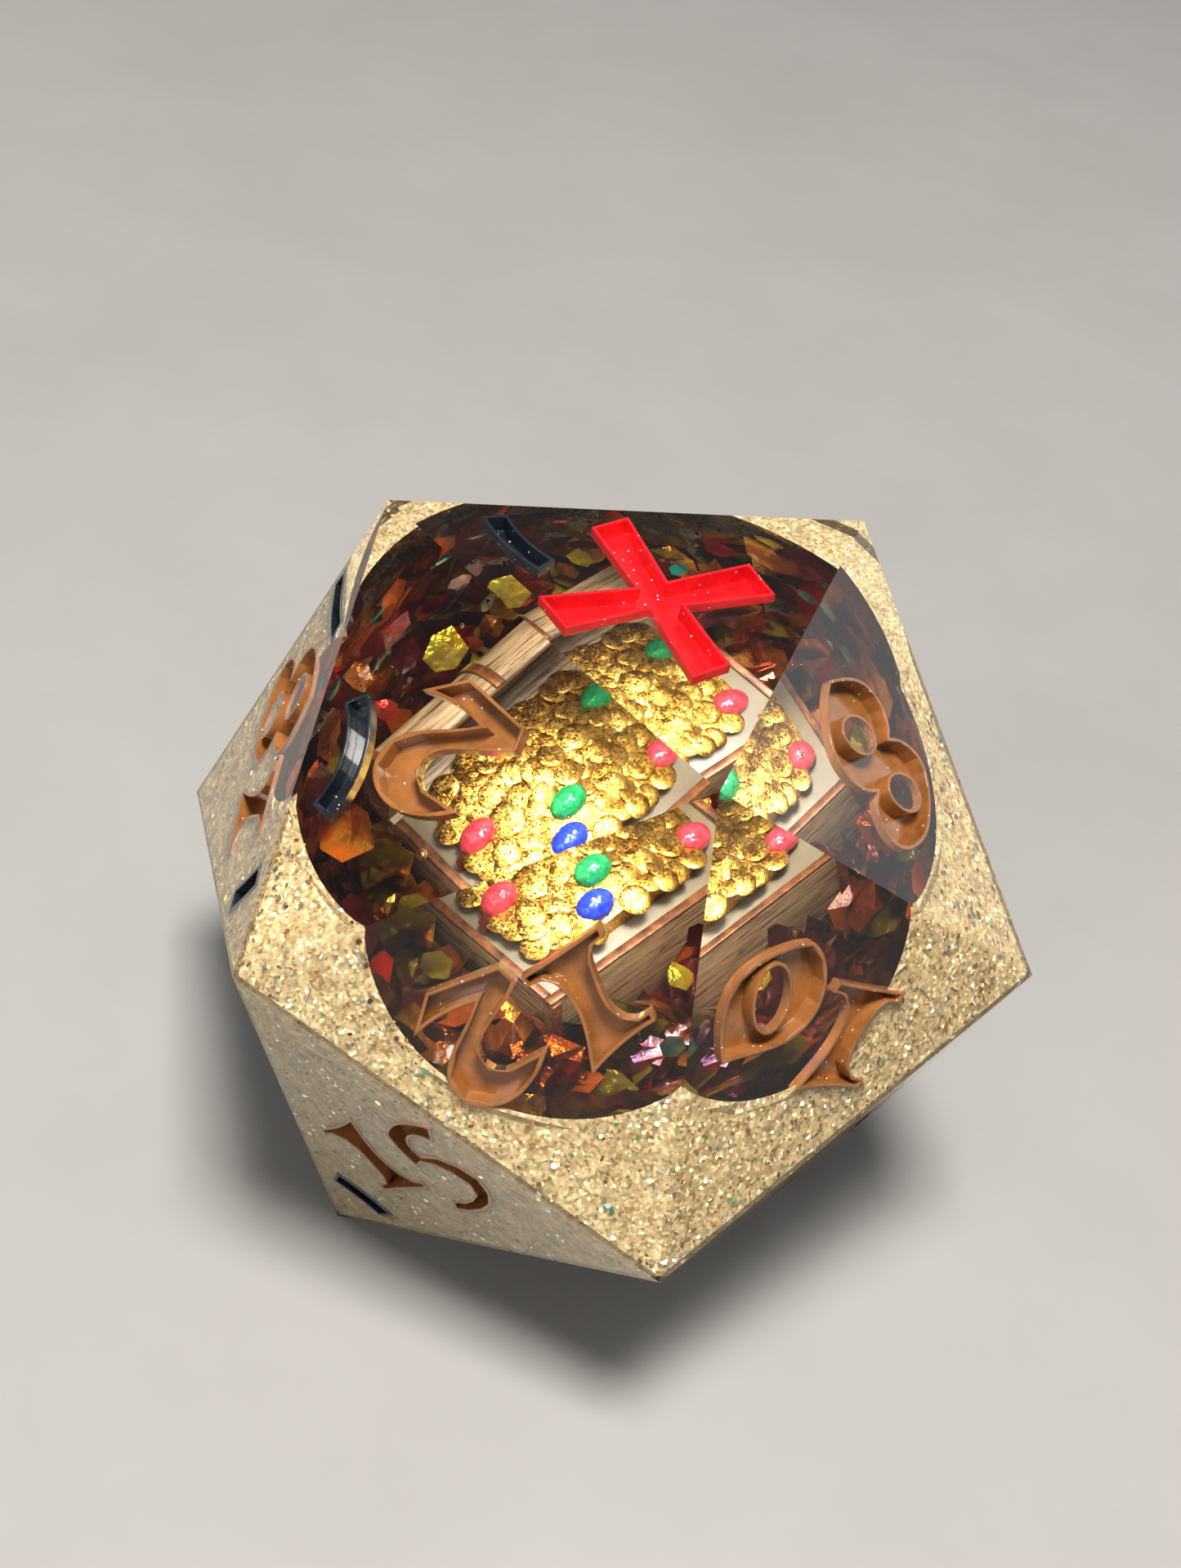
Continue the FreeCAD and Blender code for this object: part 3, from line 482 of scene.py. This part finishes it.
GEM_TINTS = {"gems_red": (0.72, 0.045, 0.065), "gems_green": (0.01, 0.36, 0.10),
             "gems_blue": (0.012, 0.045, 0.62)}
for gem_node, tint in GEM_TINTS.items():
    pearl = finish(gem_node + "_finish", {"Roughness": 0.22, "Metallic": 0.35, "Coat Weight": 0.6})
    light_tint = tuple(min(1.0, 1.7 * c + 0.05) for c in tint)
    feed(pearl, "Base Color", cloudy_colour(pearl, 2500.0, ((0.35, tint), (0.75, light_tint))))
    feed(pearl, "Normal", grainy_normal(pearl, 7000.0, 0.35)[1])
    nodes[gem_node].material_slots[0].material = pearl

# ---- foil flakes ---------------------------------------------------------------------
# Torn flakes of coloured foil, one and a half to four millimetres across and creased, laid
# round the wall of the bowl in several layers before the clear resin was poured.

FLAKE_TINTS = {
    "flakes_amber": ((0.34, (0.11, 0.018, 0.001)), (0.5, (0.46, 0.125, 0.005)),
                     (0.68, (1.0, 0.50, 0.03))),
    "flakes_plum": ((0.35, (0.045, 0.004, 0.006)), (0.7, (0.17, 0.018, 0.014))),
    "flakes_orange": ((0.35, (0.38, 0.04, 0.001)), (0.7, (0.95, 0.21, 0.006))),
    "flakes_olive": ((0.35, (0.16, 0.10, 0.003)), (0.7, (0.72, 0.52, 0.02))),
    "flakes_red": ((0.35, (0.15, 0.003, 0.002)), (0.7, (0.70, 0.025, 0.004))),
    "flakes_iridescent": ((0.3, (0.05, 0.15, 0.55)), (0.42, (0.45, 0.12, 0.50)),
                          (0.55, (0.85, 0.45, 0.40)), (0.7, (0.20, 0.50, 0.55))),
}
# Flakes that stand out: middle and reach, in millimetres.
PICKED_FLAKES = {
    "flakes_amber": (((5.62, 4.82, 7.0), 1.2), ((-4.22, -10.66, -2.0), 1.2),
                     ((-7.33, -8.06, -1.0), 1.0), ((-5.32, 3.88, 4.0), 0.9)),
    "flakes_plum": (((7.4, 3.13, 5.0), 1.0), ((-6.6, 6.9, 5.2), 0.9)),
    "flakes_orange": (((9.52, -0.7, 0.0), 1.0), ((-7.14, 4.04, 4.0), 0.8)),
    "flakes_olive": (((-7.44, -4.74, 1.0), 0.8), ((-7.52, -3.84, 0.0), 0.9),
                     ((-4.94, 6.46, 6.0), 1.1), ((-0.10, -9.51, -2.0), 1.3),
                     ((3.64, -4.7, 1.0), 0.7), ((-1.17, 8.5, 7.0), 0.7)),
    "flakes_red": (((9.91, -0.07, 3.0), 0.9), ((-8.4, 3.4, 5.4), 0.7)),
    "flakes_iridescent": (((2.17, -7.65, -1.0), 0.7), ((1.59, -7.69, -1.2), 0.6),
                          ((3.65, -6.19, -1.0), 0.8)),
}
PICKED_WAY = np.array((-0.24, -0.73, 0.64))
PICKED_ROOM = 1.3 * MM
# Share of each colour in turn, by the way round the bowl: from the right, turning left.
FLAKE_SECTORS = (
    (-35, 35, (0.36, 0.20, 0.32, 0.03, 0.09, 0.00)),
    (35, 100, (0.30, 0.34, 0.08, 0.16, 0.12, 0.00)),
    (100, 165, (0.22, 0.16, 0.20, 0.08, 0.34, 0.00)),
    (165, 230, (0.44, 0.30, 0.10, 0.12, 0.04, 0.00)),
    (230, 325, (0.44, 0.28, 0.07, 0.13, 0.02, 0.06)),
)
FLAKE_TRIES = 5600
FLAKE_LAYERS = (0.4, 0.8, 1.2, 1.7, 2.3, 3.2, 4.2, 5.2)
BESIDE_BOX = 0.35
FLAKE_REACH = (0.7, 1.9)
FLAKE_LIFT = (-0.2, 0.34)
FLAKE_THICK = 0.06 * MM
WALL_LAYERS = 2.6 * MM
FRONT_SHOWS = 2.3 * MM
LID_REACH = 2.9 * MM
LID_TALL = 5.2 * MM
FLAKES_TOP = 12.2 * MM
FLAKE_COVER = 1.7 * MM
BOX_ROOM = 0.5 * MM
WALL_ROOM = 0.4 * MM
WALL_SHARE = 0.4
FLAKE_SEE_THROUGH = (0.75, 0.55, 0.65, 0.6, 0.7, 0.15)
flake_random = np.random.default_rng(20)


def inside_die(points, cover):
    return (points @ FACE_NORMALS.T < FACE_DISTANCE - cover).all(axis=1)


def clear_of_chest(points, margin):
    """False over the open box, in it, in the lid behind it and before its front board."""
    local = (points - np.array(CHEST_CORNER)) @ np.array(CHEST_TURN)
    x, y, z = local.T
    over_box = ((x > -margin) & (x < CHEST_LENGTH + margin) & (y > -margin)
                & (y < CHEST_WIDTH + margin) & (z > -CHEST_TALL - margin))
    in_lid = ((x > -margin) & (x < CHEST_LENGTH + margin) & (y > CHEST_WIDTH)
              & (y < CHEST_WIDTH + LID_REACH) & (z > -margin) & (z < LID_TALL))
    before = (x > -margin) & (x < CHEST_LENGTH + margin) & (y < 0) & (z > -FRONT_SHOWS)
    return ~(over_box | in_lid | before)


def clear_of_picked(points):
    """False for a flake that would lie over one of those that stand out."""
    open_view = np.ones(len(points), dtype=bool)
    for listed in PICKED_FLAKES.values():
        for middle, _ in listed:
            away = points - np.array(middle) * MM
            over = away @ PICKED_WAY
            aside = np.linalg.norm(away - over[:, None] * PICKED_WAY, axis=1)
            open_view &= (over < -0.3 * MM) | (aside > PICKED_ROOM)
    return open_view


def flake_places():
    """Centres and facings in layers on the bowl's wall, and the colour of each flake."""
    ways = unit(flake_random.normal(size=(FLAKE_TRIES, 3)))
    depth = flake_random.choice(FLAKE_LAYERS, FLAKE_TRIES) * MM
    depth += flake_random.uniform(0, 0.4, FLAKE_TRIES) * MM
    near_box = flake_random.uniform(size=FLAKE_TRIES) < BESIDE_BOX
    beside = flake_random.uniform((-3.2, -3.0, -6.2), (16.0, 9.6, -0.25), (FLAKE_TRIES, 3)) * MM
    centres = BOWL_CENTRE + ways * (BOWL_RADIUS - depth)[:, None]
    centres[near_box] = np.array(CHEST_CORNER) + beside[near_box] @ np.array(CHEST_TURN).T
    depth[near_box] = 3 * MM
    in_bowl = np.linalg.norm(centres - BOWL_CENTRE, axis=1) < BOWL_RADIUS - WALL_ROOM
    below_rim = (centres - np.array(CHEST_CORNER)) @ np.array(UPWARD) < -0.4 * MM
    good = inside_die(centres, FLAKE_COVER) & clear_of_chest(centres, BOX_ROOM)
    good &= in_bowl & (centres[:, 2] < FLAKES_TOP) & ((depth < WALL_LAYERS) | below_rim)
    good &= flake_random.uniform(size=FLAKE_TRIES) < np.where(depth < WALL_LAYERS, WALL_SHARE, 1.0)
    good &= clear_of_picked(centres)
    centres, ways = centres[good], ways[good]
    facings = unit(-ways + flake_random.normal(scale=0.32, size=ways.shape))
    round_bowl = np.degrees(np.arctan2(ways[:, 1], ways[:, 0]))
    round_bowl = np.where(round_bowl < -35, round_bowl + 360, round_bowl)
    colour = np.zeros(len(centres), dtype=int)
    draw = flake_random.uniform(size=len(centres))
    for start, end, shares in FLAKE_SECTORS:
        here = (round_bowl >= start) & (round_bowl < end)
        colour[here] = np.searchsorted(np.cumsum(shares), draw[here])
    return centres, facings, np.minimum(colour, len(FLAKE_TINTS) - 1)


flake_centres, flake_facings, flake_colours = flake_places()
for order, (flake_node, stops) in enumerate(FLAKE_TINTS.items()):
    foil = finish(flake_node + "_finish", {"Metallic": 0.5, "Roughness": 0.13, "IOR": 1.3,
                                           "Transmission Weight": FLAKE_SEE_THROUGH[order],
                                           "Coat Weight": 1.0})
    feed(foil, "Base Color", cloudy_colour(foil, 330.0, stops, detail=3.0))
    crease = add_node(foil, "TexNoise", {"Vector": place_on_piece(foil), "Scale": 1100.0,
                                         "Detail": 3.0})
    creased = add_node(foil, "Bump", {"Height": crease.outputs["Fac"], "Strength": 0.9,
                                      "Distance": 0.2 * MM})
    feed(foil, "Normal", creased.outputs["Normal"])
    mine = flake_colours == order
    picked = np.array([middle for middle, _ in PICKED_FLAKES[flake_node]]) * MM
    picked_reach = np.array([reach for _, reach in PICKED_FLAKES[flake_node]]) * MM
    picked_way = unit(PICKED_WAY + flake_random.normal(scale=0.2, size=picked.shape))
    centres = np.concatenate([flake_centres[mine], picked])
    facings = np.concatenate([flake_facings[mine], picked_way])
    reaches = np.concatenate([flake_random.uniform(*FLAKE_REACH, mine.sum()) * MM, picked_reach])
    lifts = flake_random.uniform(*FLAKE_LIFT, len(centres)) * reaches
    flake_cloud(flake_node + "_foil", centres, facings, reaches, 6, lifts, FLAKE_THICK, foil,
                flake_node, [flake_node], flake_random)

# ---- small hexagonal glitter ---------------------------------------------------------
# Punched hexagons of thin foil, a millimetre across, in dark red, teal and olive, loose in
# the clear resin round the box.

hex_foil = finish("hex_glitter_finish", {"Metallic": 0.7, "Roughness": 0.2, "Coat Weight": 0.4})
feed(hex_foil, "Base Color", cloudy_colour(hex_foil, 260.0, (
    (0.35, (0.16, 0.008, 0.008)), (0.45, (0.01, 0.11, 0.09)), (0.55, (0.20, 0.17, 0.012)),
    (0.65, (0.30, 0.05, 0.01))), detail=0.0))
nodes["hex_glitter"].material_slots[0].material = hex_foil
HEX_REACH = 0.5 * MM
PICKED_HEXES = {
    "hex_dark_red": ((0.14, 0.012, 0.010), (-5.24, -3.76, 2.75), (6.4, -6.6, -1.0)),
    "hex_teal": ((0.005, 0.16, 0.13), (9.25, -0.85, -2.0), (3.33, 7.94, 7.0)),
    "hex_olive": ((0.42, 0.34, 0.02), (9.99, -1.7, -1.0), (-8.6, 1.2, 3.0)),
}
for hex_name, (tint, *middles) in PICKED_HEXES.items():
    foil = finish(hex_name + "_finish", {"Metallic": 0.6, "Roughness": 0.18, "Coat Weight": 0.6})
    pale_tint = tuple(1.5 * c for c in tint)
    feed(foil, "Base Color", cloudy_colour(foil, 900.0, ((0.35, tint), (0.7, pale_tint))))
    hex_centres = np.array(middles) * MM
    hex_ways = unit(PICKED_WAY + flake_random.normal(scale=0.15, size=hex_centres.shape))
    hex_count = len(hex_centres)
    flake_cloud(hex_name, hex_centres, hex_ways, np.full(hex_count, HEX_REACH), 6,
                np.zeros(hex_count), 0.05 * MM, foil, "hex_glitter", [], flake_random)

# ---- clear resin ---------------------------------------------------------------------
# Water-clear casting resin round everything, ground flat and polished on all twenty faces.
# The numbers, the cross and the trail are sunk in it, and the skin goes down between the
# two sides of their paint, so that the paint sits in the resin with air above it.

SKIN_INSET = 0.008 * MM
ENGRAVE_DEPTH = 0.9 * MM
PAINT_FILM = 0.15 * MM
SKIN_IN_PAINT = 0.07 * MM
PAINT_NODES = [f"numeral_{number}" for number in range(1, 20)] + ["red_cross", "trail_dashes"]


def floor_loops(node):
    """Outlines of the paint's inner floor, by die face: lists of places in order."""
    places, faces = node_mesh(node)
    floor_level = FACE_DISTANCE - ENGRAVE_DEPTH + PAINT_FILM
    found = {}
    for number, out in enumerate(FACE_NORMALS):
        level = places @ out
        flat = np.abs(level - floor_level) < ON_PLANE
        floor = [f for f in faces if all(flat[i] for i in f)]
        runs = {(f[i], f[(i + 1) % len(f)]) for f in floor for i in range(len(f))}
        follow = {a: b for a, b in runs if (b, a) not in runs}
        loops = []
        while follow:
            start, here = follow.popitem()
            loop = [start]
            while here != start:
                loop.append(here)
                here = follow.pop(here)
            loops.append(places[loop])
        if loops:
            found[number] = loops
    return found


def grown(loop, out, growth):
    """The outline moved away from the floor it goes round, by the same all along."""
    way = unit(np.roll(loop, -1, axis=0) - loop)
    away = np.cross(way, out)
    bisector = unit(away + np.roll(away, 1, axis=0))
    widen = 1 / np.maximum((bisector * away).sum(axis=1), 0.5)
    return loop + bisector * (growth * widen)[:, None]


def triangles_between(loops, out):
    """Triangles of the flat area that lies inside an odd number of the loops."""
    joined = np.concatenate(loops)
    after = np.concatenate([np.roll(loop, -1, axis=0) for loop in loops])
    along = unit(np.cross(out, (0.3, 0.5, 0.8)))
    basis = np.stack([along, np.cross(out, along)], axis=1) / MM
    starts, ends = joined @ basis, after @ basis
    edges, first = [], 0
    for loop in loops:
        edges += [(first + i, first + (i + 1) % len(loop)) for i in range(len(loop))]
        first += len(loop)
    _, _, triangles, origins, _, _ = delaunay_2d_cdt([Vector(p) for p in starts], edges, [], 1,
                                                     1e-6)
    for triangle in triangles:
        numbers = [origins[i][0] for i in triangle]
        x, y = starts[numbers].mean(axis=0)
        crossed = (starts[:, 1] > y) != (ends[:, 1] > y)
        a, b = starts[crossed], ends[crossed]
        if (a[:, 0] + (y - a[:, 1]) * (b - a)[:, 0] / (b - a)[:, 1] > x).sum() % 2:
            yield joined[numbers]


def skin_mesh():
    """The die's faces with a pocket for each painted stroke."""
    pockets = {number: [] for number in range(len(FACES))}
    for node in PAINT_NODES:
        for number, loops in floor_loops(node).items():
            pockets[number] += loops
    skin = bmesh.new()

    def fill(loops, out):
        for corners in triangles_between(loops, out):
            skin.faces.new([skin.verts.new(p) for p in corners])

    scale = (FACE_DISTANCE - SKIN_INSET) / FACE_DISTANCE
    for number, out in enumerate(FACE_NORMALS):
        rims, floors = [], []
        for loop in pockets[number]:
            wide = grown(loop, out, SKIN_IN_PAINT)
            rims.append(wide + out * (FACE_DISTANCE - SKIN_INSET - (wide @ out)[:, None]))
            floors.append(wide - out * SKIN_IN_PAINT)
        fill([CORNERS[FACES[number]] * scale] + rims, out)
        if floors:
            fill(floors, out)
        for rim, floor in zip(rims, floors):
            for i in range(len(rim)):
                after = (i + 1) % len(rim)
                corners = (rim[i], rim[after], floor[after], floor[i])
                skin.faces.new([skin.verts.new(p) for p in corners])
    bmesh.ops.remove_doubles(skin, verts=skin.verts, dist=1e-8)
    bmesh.ops.recalc_face_normals(skin, faces=skin.faces)
    skin.verts.index_update()
    places = np.array([v.co for v in skin.verts])
    faces = [[v.index for v in face.verts] for face in skin.faces]
    skin.free()
    return places, faces


resin = finish("clear_resin_finish", {"Base Color": (1.0, 0.995, 0.98, 1), "Roughness": 0.0,
                                      "IOR": 1.5, "Transmission Weight": 1.0})
resin_out = resin.node_tree.nodes["Material Output"]
lamp_ray = add_node(resin, "LightPath", {}).outputs["Is Shadow Ray"]
let_through = add_node(resin, "BsdfTransparent", {})
resin_mix = add_node(resin, "MixShader", {0: lamp_ray,
                                          1: resin.node_tree.nodes["Principled BSDF"].outputs[0],
                                          2: let_through.outputs[0]})
resin.node_tree.links.new(resin_mix.outputs[0], resin_out.inputs["Surface"])
skin_places, skin_faces = skin_mesh()
make_piece("clear_skin", skin_places, skin_faces, resin, "clear_resin", ["clear_resin"])

# ---- air bubbles ---------------------------------------------------------------------
# A few pinhead bubbles left in the clear resin. Their wall faces into the air in them.

BUBBLES = (((-9.6, -7.6, 8.0), 0.26), ((7.2, 6.8, 11.6), 0.22), ((-6.4, 3.0, 11.2), 0.12),
           ((-2.6, -6.4, 8.4), 0.10), ((4.4, -3.8, 9.4), 0.12), ((-4.4, -1.6, 9.8), 0.09))
bubbles = bmesh.new()
for middle, radius in BUBBLES:
    bmesh.ops.create_icosphere(bubbles, subdivisions=3, radius=radius * MM,
                               matrix=Matrix.Translation(Vector(middle) * MM))
bmesh.ops.reverse_faces(bubbles, faces=bubbles.faces)
bubbles.verts.index_update()
make_piece("air_bubbles", [v.co for v in bubbles.verts],
           [[v.index for v in face.verts] for face in bubbles.faces], resin, "clear_resin",
           smooth_angle=60)
bubbles.free()

# ---- painted numbers, cross and trail ------------------------------------------------
# Acrylic paint run into the sunk outlines and wiped off the faces: caramel brown in the
# numbers, bright red in the cross and blue-black in the trail. Fine dust sits on it.


def paint_finish(name, dark, light, roughness):
    """Glossy pooled paint with specks of pale dust."""
    paint = finish(name, {"Roughness": roughness, "Coat Weight": 0.5, "Coat Roughness": 0.12})
    shade = cloudy_colour(paint, 700.0, ((0.35, dark), (0.65, light)))
    specks = add_node(paint, "TexVoronoi", {"Vector": place_on_piece(paint), "Scale": 3000.0})
    speck = add_node(paint, "MapRange", {"Value": specks.outputs["Distance"], "From Min": 0.10,
                                         "From Max": 0.14, "To Min": 1.0, "To Max": 0.0})
    pick = add_node(paint, "SeparateColor", {"Color": specks.outputs["Color"]})
    rare = add_node(paint, "Math", {0: pick.outputs["Red"], 1: 0.66}, operation="GREATER_THAN")
    share = add_node(paint, "Math", {0: speck.outputs["Result"], 1: rare.outputs["Value"]},
                     operation="MULTIPLY")
    colour = add_node(paint, "Mix", {"Factor": share.outputs["Value"], 6: shade,
                                     7: (0.75, 0.72, 0.68, 1)}, data_type="RGBA")
    feed(paint, "Base Color", colour.outputs[2])
    pooled = add_node(paint, "Bevel", {"Radius": 0.12 * MM})
    feed(paint, "Normal", pooled.outputs["Normal"])
    return paint


numeral_paint = paint_finish("caramel_paint", (0.18, 0.064, 0.015), (0.29, 0.108, 0.028), 0.22)
for number in range(1, 20):
    nodes[f"numeral_{number}"].material_slots[0].material = numeral_paint
nodes["red_cross"].material_slots[0].material = paint_finish(
    "red_paint", (0.50, 0.003, 0.006), (0.72, 0.008, 0.012), 0.26)
nodes["trail_dashes"].material_slots[0].material = paint_finish(
    "blue_black_paint", (0.004, 0.006, 0.010), (0.012, 0.016, 0.024), 0.2)

# ---- table, light and camera ---------------------------------------------------------
# A plain pale table top under soft studio lights. The camera looks down on the die from
# the front left.

table_finish = finish("pale_table", {"Roughness": 0.55})
feed(table_finish, "Base Color", cloudy_colour(table_finish, 60.0, (
    (0.3, (0.27, 0.265, 0.255)), (0.7, (0.29, 0.285, 0.275)))))
TABLE_HALF = 0.6
table_mesh = bpy.data.meshes.new("table_top")
table_mesh.from_pydata([(x * TABLE_HALF, y * TABLE_HALF, -FACE_DISTANCE)
                        for x, y in ((-1, -1), (1, -1), (1, 1), (-1, 1))], [], [(0, 1, 2, 3)])
table_mesh.materials.append(table_finish)
table_top = bpy.data.objects.new("table_top", table_mesh)
bpy.context.scene.collection.objects.link(table_top)


def soft_light(name, place, size, power, tint=(1, 1, 1)):
    """A square soft box facing the die."""
    lamp = bpy.data.lights.new(name, "AREA")
    lamp.size, lamp.energy, lamp.color = size, power, tint
    holder = bpy.data.objects.new(name, lamp)
    holder.location = place
    holder.rotation_mode = "QUATERNION"
    holder.rotation_quaternion = (-Vector(place)).to_track_quat("-Z", "Y")
    bpy.context.scene.collection.objects.link(holder)


soft_light("key_light", (-0.03, -0.10, 0.38), 0.10, 3.4, (1.0, 0.96, 0.90))
soft_light("left_light", (-0.30, -0.26, 0.20), 0.16, 0.6)
soft_light("right_light", (0.26, 0.12, 0.06), 0.24, 0.14)

world = bpy.data.worlds.new("studio")
world.use_nodes = True
world.node_tree.nodes["Background"].inputs["Color"].default_value = (0.86, 0.89, 0.94, 1)
world.node_tree.nodes["Background"].inputs["Strength"].default_value = 0.22
bpy.context.scene.world = world
bpy.context.scene.view_settings.view_transform = "Standard"

look = Vector((0.2365, 0.7348, -0.6357)).normalized()
right = look.cross(Vector((-0.0168, 0.6572, 0.7535))).normalized()
head = right.cross(look)
camera = bpy.data.objects.new("camera", bpy.data.cameras.new("camera"))
camera.data.lens = 55.06
camera.data.clip_start = 0.005
camera.matrix_world = Matrix.Translation((-0.02677, -0.07965, 0.07477)) @ Matrix(
    (right, head, -look)).transposed().to_4x4()
bpy.context.scene.collection.objects.link(camera)
bpy.context.scene.camera = camera
